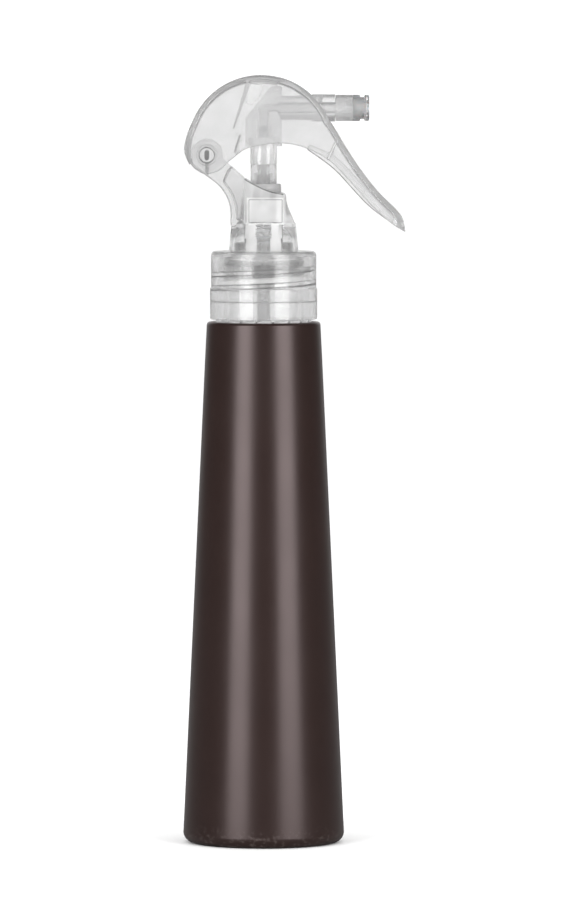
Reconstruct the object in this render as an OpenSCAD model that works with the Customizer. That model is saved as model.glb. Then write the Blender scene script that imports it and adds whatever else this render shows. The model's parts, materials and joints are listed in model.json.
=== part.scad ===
// Tapered spray bottle with a clear mini trigger sprayer.
// Frame: +Z up, origin at the centre of the base, nozzle pointing along +X. Millimetres.
// Sprayer parts are drawn in a second frame whose zero height is the deck, the closure's top face.

/* [Bottle] */
// Height from the base to the shoulder
bottle_h = 162.3; // [150:0.1:185]
// Radius the tapered side would reach at the base
base_r = 25.2; // [23:0.1:28]
// Radius the tapered side would reach at the shoulder
shoulder_r = 17.7; // [17.6:0.1:20]
// Rounding radius of the base corner
base_corner_r = 3.2; // [2.6:0.1:6]
// Rounding radius of the shoulder corner
shoulder_corner_r = 1.0; // [0.5:0.1:1.5]
// Thickness of the bottle wall
bottle_wall = 1.2; // [0.9:0.1:1.8]
// Rise of the middle of the base above the ring it stands on
push_up = 2.5; // [1.5:0.1:4]

/* [Neck finish] */
// Outer radius of the neck under the thread
neck_r = 12.5; // [12.4:0.05:12.6]
// Radius of the neck bore
neck_bore_r = 10.8; // [10.2:0.1:11]
// Height of the neck above the shoulder
neck_h = 17.9; // [17.5:0.1:18.4]
// Rise of the thread in one turn
thread_pitch = 4.233; // [4.1:0.001:4.3]
// Turns of thread on the neck
neck_turns = 1.5; // [1.25:0.25:1.75]
// Ratchet lugs round the foot of the neck
lug_count = 18; // [12:1:24]

/* [Closure] */
// Outer radius of the closure's lower band
closure_r = 16.65; // [16.5:0.05:16.9]
// Height of the closure
closure_h = 21.1; // [20.8:0.1:21.3]
// Thickness of the closure's top
closure_top_t = 1.5; // [1.3:0.1:1.6]

/* [Trigger] */
// Half the width of the trigger lever over its side walls
lever_half_w = 7.45; // [7.3:0.05:7.8]
// Thickness of the lever's side walls
lever_wall = 1.3; // [1.1:0.05:1.35]
// Thickness of the lever's top web
lever_web = 1.6; // [1.4:0.1:1.8]
// Radius of the lever's dome
dome_r = 23.0; // [22.9:0.1:23.2]
// Radius of the hinge trunnions
trunnion_r = 2.5; // [2.3:0.05:2.6]

/* [Spray head] */
// Radius of the elbow's upright body
elbow_r = 5.65; // [5.4:0.05:5.7]
// Radius of the spout outside the lever
spout_r = 4.25; // [4:0.05:4.3]
// Radius of the nozzle cap
nozzle_r = 4.1; // [3.9:0.05:4.2]
// Distance of the nozzle's tip from the bottle's axis
nozzle_reach = 32.8; // [31.5:0.1:34]

/* [Pump] */
// Radius of the pump barrel's bore
barrel_bore_r = 4.5; // [4.45:0.05:4.6]
// Outer radius of the visible stem
stem_r = 4.05; // [3.95:0.05:4.1]
// Outer radius of the dip tube
dip_r = 2.0; // [1.8:0.1:2.2]
// Wire radius of the return spring
spring_wire_r = 0.35; // [0.3:0.05:0.4]

/* [Hidden] */
$fn = 96;

CLEAR = [0.84, 0.86, 0.87, 0.5];
BROWN = [0.22, 0.165, 0.16];
MILKY = [0.9, 0.9, 0.88];
STEEL = [0.7, 0.71, 0.72];
GREY = [0.45, 0.46, 0.47];

slip = 0.05;                          // radial gap of a running fit
gap = 0.1;                            // gap between faces that close on each other
eps = 0.01;                           // overshoot of a cut past the face it opens
closure_gap = 0.8;                    // closure's foot above the shoulder, screwed down
deck_z = bottle_h + closure_gap + closure_h;  // height of the closure's top face

// Neck thread
thread_crest_r = neck_r + 1.15;       // neck ridge
ridge_sink = 0.3;                     // how far a ridge's foot is buried in its wall
neck_top = bottle_h + neck_h;
thread_set = 1.8;                     // neck ridge's upper end below the neck's top
neck_thread_z = neck_top - thread_set - neck_turns * thread_pitch;
lug_r = 14.7;
lug_rise = 1.4;
lug_len = 2.8;

// Closure
closure_bore_r = 14.3;
closure_crest_r = 13.0;               // closure ridge
closure_upper_r = closure_r - 0.3;
closure_hole_r = 10.4;
closure_turns = 1.75;
thread_drop = 1.5;                    // closure ridge below the neck ridge it bears on
closure_step_z = -11.5;
closure_skirt_r = 15.2;               // recess that clears the ratchet lugs
closure_skirt_h = 5.8;

// Lever geometry in the deck frame, as [x, z]
pivot = [-17.6, 29.9];
dome_c = [-0.8, 31.7];
pad_t = 1.0;                          // pressing pad under the web, over the elbow
pad_a = [99.5, 75.5];                 // where the pad starts and ends on the dome
lever_in = lever_half_w - lever_wall;
hub_r = 5.0;
boss_r = 3.3;
arm_half_w = 5.45;
boss_half_w = lever_in - 0.3;
trunnion_half_w = lever_half_w - 0.15;
slot_r = 0.7;                         // half the width of the upright slot in each trunnion's end
slot_rise = 0.85;                     // half the distance between the slot's round ends
slot_depth = 2.2;
rib_a = [[-4.4, 53], [-4.4, 51.4], [-9.1, 38.1]];   // rear rib's front face, top to foot
rib_a_t = 0.9;
rib_b = [[22.6, 33.6], [20.3, 28.2]];               // tail rib's front face, top to foot
mid_rib_low = [[40.0, 8.5], [33.2, 13.5], [28.2, 18.6], [23.4, 23.9], [19.4, 27.4], [13.4, 31.6]];
mid_rib_top = [[14.2, 33.2], [21.2, 30.4], [25.6, 26.6], [30.0, 21.6], [35.2, 16.2], [40.6, 10.6]];
slot_x = [5.2, 21.4];                               // opening in the web for the spout
slot_half_w = spout_r + 0.45;

// Tower
skirt_r = 10.65;
skirt_waist_r = closure_hole_r - 0.2;
skirt_top_r = 10.0;
skirt_h = 8.6;
tower_half_w = 8.0;
barrel_r = 6.0;
arm_arc_c = [-23.46, 11.29];          // rear edge of the arm
arm_arc_r = 13.25;

// Spray head in the deck frame
elbow_z = [32.7, 27.0];               // foot of the body, foot of the socket tube
elbow_tube_r = 4.1;
crown_c = [4.0, 47.8];                // crown that the lever's pad presses on
crown_r = 3.5;
spout_z = 44.5;
spout_inner_r = 3.75;                 // spout inside the lever
spout_step_x = 15.0;
cap_x = 22.2;                         // where the nozzle cap meets the spout
spigot_r = 3.0;
spigot_x = 27.6;
insert_r = 2.7;
insert_set = 0.9;                     // the insert's face, behind the nozzle's tip
insert_x = nozzle_reach - insert_set;
channel_r = 1.2;

// Pump in the deck frame
flange_z = [-2.9, -1.6];
flange_r = 12.0;                      // flange that the gasket and the closure's top grip
sleeve_r = 9.2;                       // sleeve that the pump body plugs on
socket_r = 3.4;                       // socket for the dip tube
socket_foot = -12.0;
gasket_t = deck_z + flange_z[0] - neck_top;
barrel_floor = 1.4;
barrel_top = 18.2;                    // shoulder under the collar
spigot_top = 20.0;
spigot_wall = 0.5;
collar_t = 0.9;
collar_r = barrel_bore_r + spigot_wall + 0.45;
inlet_r = 1.1;
seat_z = 2.4;
seat_r = 1.7;
cage_r = 2.3;
cage_top = 6.1;
inlet_ball_r = 1.5;
stem_foot = 14.6;
stem_lower_r = 3.0;
stem_socket_r = 3.2;
stem_tip = 35.3;
outlet_r = 0.9;
outlet_ball_r = 1.3;
chamber_r = 1.6;
chamber_top = 39.3;
dip_top = -4.3;
dip_foot = 6.0;                       // above the bottle's base

// ---- outlines ---------------------------------------------------------------------------------

// Points of an arc from angle a0 to a1, in n steps
function arc(c, r, a0, a1, n) = [
    for (i = [0:n])
        let (a = a0 + (a1 - a0) * i / n) c + r * [cos(a), sin(a)]];

// Points of a smooth curve through p, with n steps between neighbours
function spline(p, n) = [
    for (i = [0:len(p) - 2], k = [0:n - 1])
        let (a = p[max(i - 1, 0)], b = p[i], c = p[i + 1], d = p[min(i + 2, len(p) - 1)], t = k / n)
        0.5 * (2 * b + (c - a) * t + (2 * a - 5 * b + 4 * c - d) * t * t
               + (3 * b - a - 3 * c + d) * t * t * t),
    p[len(p) - 1]];

function unit(v) = v / norm(v);

// The curve moved by d to the right of its direction of travel
function shifted(p, d) = [
    for (i = [0:len(p) - 1])
        let (t = unit(p[min(i + 1, len(p) - 1)] - p[max(i - 1, 0)])) p[i] + d * [t[1], -t[0]]];

// Lever outline: the outer line from the rear lobe over the dome to the tip, then the lower edge back
lever_rear = [[-22.5, 39.6], [-23.9, 35.8], [-24.65, 31.6], [-23.5, 27.7], [-20.9, 24.8],
              [-17.4, 23.95], [-13.9, 25.1], [-11.2, 27.6]];
lever_tail = [[20.9, 40.2], [22.9, 36.9], [25.0, 33.3], [29.8, 25.9], [35.7, 18.4], [41.2, 13.0],
              [43.2, 10.2], [43.9, 7.2]];
lever_under = [[43.9, 6.1], [39.7, 8.7], [34.1, 13.6], [29.3, 18.9], [24.6, 24.1], [20.6, 28.0],
               [15.0, 31.3], [9.3, 33.2], [4.0, 33.6], [-1.5, 32.9], [-6.0, 31.6], [-11.2, 27.6]];
dome_a = [160, 22];
rear_curve = spline(lever_rear, 4);
tail_curve = spline(lever_tail, 5);
under_curve = spline(lever_under, 4);
function dome(r, a0, a1, n) = arc(dome_c, r, a0, a1, n);

// ---- helpers ----------------------------------------------------------------------------------

// A flat outline in the XZ plane, thickened by half_w to both sides of Y
module side_plate(half_w, y = 0) {
    translate([0, y, 0]) rotate([90, 0, 0]) linear_extrude(height = 2 * half_w, center = true) children();
}

// A round rod along Y through p = [x, z]
module cross_rod(p, r, half_w) {
    translate([p[0], 0, p[1]]) rotate([90, 0, 0]) cylinder(r = r, h = 2 * half_w, center = true);
}

// A round rod along X at height z
module long_rod(x0, x1, z, r) {
    translate([x0, 0, z]) rotate([0, 90, 0]) cylinder(r = r, h = x1 - x0);
}

// An upright round rod on the axis
module post(r, z0, z1) {
    translate([0, 0, z0]) cylinder(r = r, h = z1 - z0);
}

module tube(r_out, r_in, z0, z1) {
    difference() {
        post(r_out, z0, z1);
        post(r_in, z0 - 1, z1 + 1);
    }
}

// A helical ridge. Its foot is root_w tall at radius root, its crest crest_w tall at radius crest.
module helix_ridge(root, crest, z0, turns, root_w, crest_w) {
    per_turn = 40;
    n = round(turns * per_turn);
    fade = 4;                         // steps over which each end of the ridge sinks to its foot
    function height(i) = min(1, min(i, n - i) / fade);
    points = [for (i = [0:n])
        let (a = 360 * i / per_turn, z = z0 + thread_pitch * i / per_turn,
             h = max(height(i), 0.04), r = root + (crest - root) * h)
        each [for (q = [[root, -root_w / 2], [r, -crest_w / 2], [r, crest_w / 2], [root, root_w / 2]])
            [q[0] * cos(a), q[0] * sin(a), z + q[1] * (0.5 + 0.5 * h)]]];
    outward = crest > root;
    function quad(a, b, c, d) = outward ? [[a, b, c], [a, c, d]] : [[a, c, b], [a, d, c]];
    sides = [for (i = [0:n - 1], k = [0:3])
        let (k2 = (k + 1) % 4) each quad(4 * i + k, 4 * i + k2, 4 * i + 4 + k2, 4 * i + 4 + k)];
    ends = concat(quad(3, 2, 1, 0), quad(4 * n, 4 * n + 1, 4 * n + 2, 4 * n + 3));
    polyhedron(points, concat(sides, ends));
}

// A compression spring with closed, parallel ends
module coil(r, wire, z0, z1, turns) {
    per_turn = 24;
    facets = 8;
    n = round(turns * per_turn);
    closed = 0.9;                     // turns lying flat at each end
    free = turns - 2 * closed;
    function rise(t) = t < closed ? t * 2 * wire : t > turns - closed
        ? z1 - z0 - 2 * wire - (turns - t) * 2 * wire
        : closed * 2 * wire + (t - closed) / free * (z1 - z0 - 2 * wire - 4 * closed * wire);
    points = [for (i = [0:n])
        let (t = i / per_turn, a = 360 * t)
        each [for (k = [0:facets - 1])
            let (b = 360 * k / facets, q = r + wire * cos(b))
            [q * cos(a), q * sin(a), z0 + wire + rise(t) + wire * sin(b)]]];
    sides = [for (i = [0:n - 1], k = [0:facets - 1])
        let (a = facets * i + k, b = facets * i + (k + 1) % facets)
        each [[a, a + facets, b], [b, a + facets, b + facets]]];
    start_cap = [for (k = [0:facets - 1]) k];
    end_cap = [for (k = [facets - 1:-1:0]) facets * n + k];
    polyhedron(points, concat(sides, [start_cap, end_cap]));
}

// ---- bottle and closure -----------------------------------------------------------------------

// Side line of the bottle at height z, moved in by d
function side_r(z, d = 0) = base_r + (shoulder_r - base_r) * z / bottle_h - d;

module bottle_profile() {
    foot_r = side_r(base_corner_r) - base_corner_r;
    top_r = side_r(bottle_h) - shoulder_corner_r;
    in_corner = base_corner_r - bottle_wall;
    rim_r = foot_r - 2.5;             // inner edge of the ring the bottle stands on
    inner_top_z = bottle_h - 4;       // where the wall starts to round in under the shoulder
    polygon(concat(
        [[0, push_up], [rim_r - 3, push_up * 0.8], [rim_r, 0]],
        arc([foot_r, base_corner_r], base_corner_r, -90, 0, 8),
        arc([top_r, bottle_h - shoulder_corner_r], shoulder_corner_r, 0, 90, 4),
        [[neck_r, bottle_h], [neck_r, neck_top - 0.4], [neck_r - 0.4, neck_top],
         [neck_bore_r + 0.3, neck_top], [neck_bore_r, neck_top - 0.3], [neck_bore_r, bottle_h + 0.4],
         [side_r(bottle_h, bottle_wall) - 2.5, bottle_h - 1.6],
         [side_r(inner_top_z, bottle_wall), inner_top_z]],
        arc([foot_r, base_corner_r], in_corner, 0, -90, 6),
        [[rim_r - 3, push_up * 0.8 + bottle_wall], [0, push_up + bottle_wall]]));
}

module ratchet_lugs() {
    for (i = [0:lug_count - 1])
        rotate([0, 0, 360 * i / lug_count])
            translate([0, 0, bottle_h - 0.2])
                rotate([90, 0, 90])
                    translate([0, 0, neck_r - 0.3])
                        linear_extrude(height = lug_r - neck_r + 0.3)
                            polygon([[0, 0], [lug_len, 0], [lug_len, lug_rise + 0.2]]);
}

module bottle() {
    color(BROWN) {
        rotate_extrude() bottle_profile();
        ratchet_lugs();
        helix_ridge(neck_r - ridge_sink, thread_crest_r, neck_thread_z, neck_turns, 2.3, 1.0);
    }
}

module closure_profile() {
    foot = -closure_h;
    recess_top = foot + closure_skirt_h;
    polygon(concat(
        [[closure_hole_r, 0]],
        arc([closure_upper_r - 0.8, -0.8], 0.8, 90, 0, 4),
        [[closure_upper_r, closure_step_z + 0.3], [closure_r, closure_step_z], [closure_r, foot + 0.3],
         [closure_r - 0.3, foot], [closure_skirt_r, foot], [closure_skirt_r, recess_top - 0.9],
         [closure_bore_r, recess_top], [closure_bore_r, -closure_top_t],
         [closure_hole_r, -closure_top_t]]));
}

module closure() {
    color(CLEAR) {
        translate([0, 0, deck_z]) rotate_extrude() closure_profile();
        rotate([0, 0, 90])
            helix_ridge(closure_bore_r + ridge_sink, closure_crest_r,
                        neck_thread_z - thread_drop + thread_pitch / 4, closure_turns, 2.0, 0.9);
    }
}

module neck_gasket() {
    color(MILKY) tube(neck_r - 0.1, neck_bore_r - 1.8, neck_top, neck_top + gasket_t);
}

// ---- pump body and trigger --------------------------------------------------------------------

module skirt() {
    bore = sleeve_r + slip;           // plugs over the pump cylinder's sleeve
    collar_bore = barrel_r + gap;
    shelf_z = skirt_h - 1.4;          // under the skirt's top
    rotate_extrude()
        polygon([[collar_bore, shelf_z], [collar_bore, skirt_h + 1], [skirt_top_r - 0.8, skirt_h + 1],
                 [skirt_top_r, skirt_h], [skirt_r - 0.25, 4.2], [skirt_r, 1.4], [skirt_r, 0.15],
                 [skirt_waist_r, 0.15], [skirt_waist_r, -closure_top_t], [bore, -closure_top_t],
                 [bore, 2.9], [bore - 0.35, 3.2], [bore - 0.55, shelf_z]]);
}

module tower() {
    intersection() {
        side_plate(tower_half_w)
            polygon(concat([[-6.2, skirt_h - 1.2], [-6.2, 17.3], [-5.9, 22.8]],
                           spline([[-5.9, 22.8], [-2.4, 20.8], [1.9, 18.9], [6.0, 18.0], [6.9, 17.3],
                                   [7.1, 15.4], [7.8, 13.1], [9.0, 10.4], [9.7, skirt_h]], 3),
                           [[9.7, skirt_h - 1.2]]));
        post(skirt_top_r, skirt_h - 2, skirt_h + 18);
    }
}

// The arm that carries the hinge behind the tower
module arm_outline() {
    polygon(concat([[-6, skirt_h - 1], [-10.2, skirt_h - 1]],
                   arc(arm_arc_c, arm_arc_r, -6, 57, 12),
                   [[-18.3, 23.9], [-20.9, 26.1], pivot, [-13.6, 29.6], [-11.2, 27.4], [-5.9, 22.8]]));
}

// Upright slot in the outer end of each trunnion
module trunnion_slots() {
    for (s = [-1, 1])
        side_plate(slot_depth / 2 + 0.5, s * (trunnion_half_w - slot_depth / 2 + 0.5))
            polygon(concat(arc(pivot + [0, slot_rise], slot_r, 0, 180, 12),
                           arc(pivot - [0, slot_rise], slot_r, 180, 360, 12)));
}

// Hollow of the arm, open upwards between its two side plates
module arm_pocket() {
    polygon(concat([[-6.8, skirt_h + 1], [-8.6, skirt_h + 1]],
                   arc(arm_arc_c, arm_arc_r + 1.5, 0, 44, 8),
                   [[-11.4, 25.0], [-9.4, 27.5], [-5, 24]]));
}

// Shallow upright groove on each flank of the arm, beside the tower
module arm_grooves() {
    for (s = [-1, 1])
        side_plate(0.5, s * arm_half_w)
            polygon([[-8.1, 19.6], [-7.1, 19.6], [-7.5, 9.8], [-7.8, 9.8]]);
}

module windows() {
    for (s = [-1, 1])
        translate([-4.7, s * (tower_half_w - 0.7) - (s < 0 ? 2 : 0), skirt_h + 0.3]) cube([10.6, 2, 7.4]);
}

module pump_body() {
    color(CLEAR)
        translate([0, 0, deck_z])
            difference() {
                union() {
                    skirt();
                    tower();
                    side_plate(arm_half_w) arm_outline();
                    cross_rod(pivot, hub_r, arm_half_w);
                    cross_rod(pivot, boss_r, boss_half_w);
                    cross_rod(pivot, trunnion_r, trunnion_half_w);
                }
                post(barrel_r + gap, -2, 28);
                side_plate(arm_half_w - 1.2) arm_pocket();
                arm_grooves();
                windows();
                trunnion_slots();
            }
}

// Wedge-shaped lead-in on the inner face of each side wall, where the trunnions snap in
module lead_in() {
    for (s = [-1, 1])
        translate([pivot[0], 0, pivot[1]])
            side_plate(0.6, s * lever_in)
                polygon([[-2.0, 1.5], [0, 2.4], [0.8, 2.3], [0.8, -7], [-7, -5.2]]);
}

// Space inside the lever, open downwards: the web above it is lever_web thick, and thicker over the pad
module lever_hollow() {
    rear_top = [for (p = shifted(rear_curve, -lever_web)) if (p[1] > pivot[1] + 0.3 && p[1] < 38.6) p];
    tail_in = shifted(tail_curve, lever_web);
    side_plate(lever_in)
        polygon(concat([[-30, pivot[1] + 0.3], [rear_top[len(rear_top) - 1][0], pivot[1] + 0.3]],
                       [for (i = [len(rear_top) - 1:-1:0]) rear_top[i]],
                       dome(dome_r - lever_web, 158, pad_a[0] + 0.5, 16),
                       dome(dome_r - lever_web - pad_t, pad_a[0], pad_a[1], 9),
                       dome(dome_r - lever_web, pad_a[1] - 0.5, 24, 14),
                       [for (i = [0:len(tail_in) - 9]) tail_in[i]],
                       [[41.0, 8.8], [39.6, 4], [-30, 4]]));
}

module lever_ribs() {
    // rear rib across the hollow
    side_plate(lever_in + 0.2)
        polygon(concat(rib_a, [rib_a[2] - [rib_a_t, 0], rib_a[0] - [rib_a_t + 0.4, 0]]));
    // low ridges that carry its line down the side walls
    for (s = [-1, 1])
        side_plate(0.35, s * lever_in) polygon([[-7.6, 36.2], [-7.0, 36.2], [-8.7, 31.0], [-9.3, 30.6]]);
    // tail rib
    side_plate(lever_in + 0.2)
        polygon([rib_b[0], rib_b[1], rib_b[1] - [0.9, -0.4], rib_b[0] - [1.0, -0.6]]);
    // middle rib under the tail, standing a little proud of the side walls
    side_plate(0.6)
        polygon(concat(spline(mid_rib_low, 4), mid_rib_top));
}

module trigger_lever() {
    color(CLEAR)
        translate([0, 0, deck_z])
            difference() {
                union() {
                    difference() {
                        lever_blank();
                        lever_hollow();
                        web_slot();
                    }
                    lever_ribs();
                }
                cross_rod(pivot, trunnion_r + slip, 10);
                lead_in();
            }
}

// Solid lever, narrowing in plan from the dome to the tip
module lever_blank() {
    intersection() {
        side_plate(lever_half_w)
            polygon(concat(dome(dome_r, dome_a[0], dome_a[1], 46), tail_curve, under_curve,
                           [for (i = [len(rear_curve) - 2:-1:0]) rear_curve[i]]));
        linear_extrude(height = 70)
            polygon(concat(arc([-19.6, 0], lever_half_w, 250, 110, 1),
                           [[-24.9, 5.9], [-22.8, lever_half_w], [14, lever_half_w], [30, 6.7]],
                           arc([40.2, 2.6], 3.9, 70, 0, 5), arc([40.2, -2.6], 3.9, 0, -70, 5),
                           [[30, -6.7], [14, -lever_half_w], [-22.8, -lever_half_w], [-24.9, -5.9]]));
    }
}

module web_slot() {
    translate([slot_x[0], -slot_half_w, spout_z - spout_r - 0.7])
        cube([slot_x[1] - slot_x[0] + 2, 2 * slot_half_w, 20]);
}

// ---- spray head -------------------------------------------------------------------------------

module elbow_body() {
    intersection() {
        post(elbow_r, elbow_z[0], elbow_z[0] + 24);
        side_plate(8)
            polygon(concat([[-7, elbow_z[0]], [7, elbow_z[0]]],
                           arc(crown_c, crown_r, 40, 145, 14),
                           [[-6.48, 40.45], [-7, 39.8]]));
    }
}

module spray_elbow() {
    color(CLEAR)
        translate([0, 0, deck_z])
            difference() {
                union() {
                    elbow_body();
                    post(elbow_tube_r, elbow_z[1], elbow_z[0] + 1);
                    long_rod(0, spout_step_x, spout_z, spout_inner_r);
                    long_rod(spout_step_x, cap_x, spout_z, spout_r);
                    long_rod(cap_x - 1, spigot_x, spout_z, spigot_r);
                }
                post(stem_socket_r, elbow_z[1] - 1, stem_tip);
                post(chamber_r, stem_tip - eps, chamber_top);
                post(channel_r, chamber_top - eps, spout_z);
                long_rod(0, spigot_x + 1, spout_z, channel_r);
            }
}

module nozzle_cap() {
    reach = nozzle_reach - cap_x;
    foot = spigot_x - cap_x;          // floor of the seat for the insert
    groove_r = nozzle_r - 0.7;
    mouth = [1.9, 1.6];               // flared mouth: radius at the tip and inside
    color(CLEAR)
        translate([cap_x, 0, deck_z + spout_z])
            rotate([0, 90, 0])
                rotate_extrude()
                    polygon([[spigot_r, 0.1], [nozzle_r - 0.15, 0.1], [nozzle_r, 0.25],
                             [nozzle_r, reach - 3.0], [groove_r, reach - 2.7],
                             [groove_r, reach - 1.7], [nozzle_r, reach - 1.4],
                             [nozzle_r, reach - 0.35], [nozzle_r - 0.35, reach],
                             [mouth[0], reach], [mouth[1], reach - insert_set],
                             [insert_r, reach - insert_set], [insert_r, foot], [spigot_r, foot]]);
}

module orifice_insert() {
    depth = insert_x - spigot_x;
    hole_r = 0.25;
    pocket_r = 1.6;                   // pocket at the back, for the swirl core
    color(GREY)
        translate([spigot_x, 0, deck_z + spout_z])
            rotate([0, 90, 0])
                rotate_extrude()
                    polygon([[pocket_r, 0], [insert_r, 0], [insert_r, depth], [2 * hole_r, depth],
                             [hole_r, depth - 0.3], [hole_r, depth - 0.7], [pocket_r, depth - 0.7]]);
}

module swirl_core() {
    core_r = 1.5;
    length = insert_x - spigot_x - 0.8;
    color(MILKY)
        translate([spigot_x + gap, 0, deck_z + spout_z])
            rotate([0, 90, 0])
                difference() {
                    cylinder(r = core_r, h = length - gap);
                    for (a = [0, 120, 240])
                        rotate([0, 0, a]) translate([core_r - 0.4, -0.35, -1]) cube([1, 0.7, length + 2]);
                }
}

// ---- pump -------------------------------------------------------------------------------------

module pump_cylinder() {
    spigot_top_r = barrel_bore_r + spigot_wall;
    ledge_z = flange_z[1] + 0.6;      // floor between the sleeve and the barrel
    color(CLEAR)
        translate([0, 0, deck_z])
            difference() {
                rotate_extrude()
                    polygon([[inlet_r, socket_foot], [socket_r - 0.2, socket_foot - 0.2],
                             [socket_r, socket_foot + 0.2], [socket_r, flange_z[0]],
                             [flange_r, flange_z[0]], [flange_r, flange_z[1]], [sleeve_r, flange_z[1]],
                             [sleeve_r, 2.6], [sleeve_r - 1.2, 2.8], [sleeve_r - 1.3, ledge_z],
                             [barrel_r, ledge_z], [barrel_r, barrel_top], [spigot_top_r, barrel_top],
                             [spigot_top_r, spigot_top], [barrel_bore_r, spigot_top],
                             [barrel_bore_r, barrel_floor], [seat_r, barrel_floor],
                             [seat_r, seat_z], [inlet_r, seat_z]]);
                post(dip_r, socket_foot - 1, dip_top + gap);
                air_vent();
            }
}

// Way for air into the bottle: a hole that the piston uncovers, a groove down the barrel and a hole
// in the flange
module air_vent() {
    vent_z = 17.4;
    vent_r = 0.4;
    groove_foot = 6.5;
    translate([0, 0, vent_z]) rotate([90, 0, 0]) cylinder(r = vent_r, h = barrel_r + 1, $fn = 24);
    translate([-vent_r, -barrel_r - 1, groove_foot]) cube([2 * vent_r, 1.5, vent_z - groove_foot]);
    translate([0, -7, flange_z[0] - 1]) cylinder(r = 0.5, h = 3, $fn = 24);
}

module cylinder_collar() {
    color(CLEAR)
        translate([0, 0, deck_z])
            rotate_extrude()
                polygon([[stem_r + gap, spigot_top], [stem_r + gap, spigot_top + collar_t],
                         [collar_r - 0.3, spigot_top + collar_t], [collar_r, spigot_top + collar_t - 0.3],
                         [collar_r, barrel_top], [barrel_bore_r + spigot_wall, barrel_top],
                         [barrel_bore_r + spigot_wall, spigot_top]]);
}

module stem_seal() {
    color(MILKY)
        translate([0, 0, deck_z]) tube(barrel_bore_r, stem_r + slip, spigot_top - 0.7, spigot_top);
}

module piston_stem() {
    bore_r = outlet_r + 0.4;
    neck_z = 19.2;                    // the stem is full width from here to the elbow
    color(CLEAR)
        translate([0, 0, deck_z])
            rotate_extrude()
                polygon([[bore_r, stem_foot], [3.9, stem_foot], [3.9, stem_foot + 0.7],
                         [stem_lower_r, stem_foot + 0.8], [stem_lower_r, neck_z], [stem_r, neck_z + 0.1],
                         [stem_r, elbow_z[1] - 0.3], [stem_r - 0.25, elbow_z[1]],
                         [stem_socket_r, elbow_z[1]], [stem_socket_r, stem_tip - 0.3],
                         [stem_socket_r - 0.3, stem_tip], [outlet_r, stem_tip],
                         [outlet_r, stem_tip - 1.5], [bore_r, stem_tip - 2.5]]);
}

// Double-lipped seal, a sleeve with one lip down and one lip up
module piston_seal() {
    lip_r = barrel_bore_r - slip;
    body_r = 4.0;
    foot = stem_foot + 0.8;
    top = 19.1;
    color(MILKY)
        translate([0, 0, deck_z])
            rotate_extrude()
                polygon([[stem_lower_r, foot], [body_r - 0.4, foot], [body_r, foot + 0.7],
                         [lip_r - 0.2, foot - 0.2], [lip_r, foot - 0.1], [lip_r, foot + 0.8],
                         [body_r, foot + 1.5], [body_r, top - 1.3], [lip_r, top - 0.6], [lip_r, top],
                         [lip_r - 0.2, top + 0.1], [body_r, top - 0.5], [body_r - 0.3, top],
                         [stem_lower_r, top]]);
}

module return_spring() {
    color(STEEL)
        translate([0, 0, deck_z]) coil(3.5, spring_wire_r, barrel_floor, stem_foot, 6.5);
}

module ball_cage() {
    slot_h = 1.6;
    roof = 0.6;
    color(MILKY)
        translate([0, 0, deck_z])
            difference() {
                post(cage_r, barrel_floor, cage_top);
                post(seat_r, barrel_floor - 1, cage_top - roof + 0.1);
                post(0.8, cage_top - 1, cage_top + 1, $fn = 48);
                for (a = [0, 90])
                    rotate([0, 0, a])
                        translate([-4, -0.5, cage_top - roof - slot_h]) cube([8, 1, slot_h]);
            }
}

// Height of a ball's centre above the edge of the hole it closes
function seated(r, hole) = sqrt(r * r - hole * hole) + 0.02;

module valve_ball(r, z) {
    color(STEEL)
        translate([0, 0, deck_z + z]) sphere(r = r, $fn = 48);
}

module inlet_ball() {
    valve_ball(inlet_ball_r, seat_z + seated(inlet_ball_r, inlet_r));
}

module outlet_ball() {
    valve_ball(outlet_ball_r, stem_tip + seated(outlet_ball_r, outlet_r));
}

module outlet_spring() {
    foot = stem_tip + seated(outlet_ball_r, outlet_r) + 0.6;
    color(STEEL) translate([0, 0, deck_z]) coil(1.25, 0.15, foot, chamber_top, 4);
}

module dip_tube() {
    color(MILKY)
        difference() {
            tube(dip_r, dip_r - 0.6, dip_foot, deck_z + dip_top);
            translate([-5, -5, dip_foot]) rotate([0, 35, 0]) translate([0, 0, -10]) cube([20, 10, 10]);
        }
}

bottle();
closure();
neck_gasket();
pump_body();
pump_cylinder();
cylinder_collar();
stem_seal();
piston_stem();
piston_seal();
return_spring();
ball_cage();
inlet_ball();
dip_tube();
spray_elbow();
outlet_ball();
outlet_spring();
nozzle_cap();
orifice_insert();
swirl_core();
trigger_lever();
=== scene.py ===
import json
import math

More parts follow.
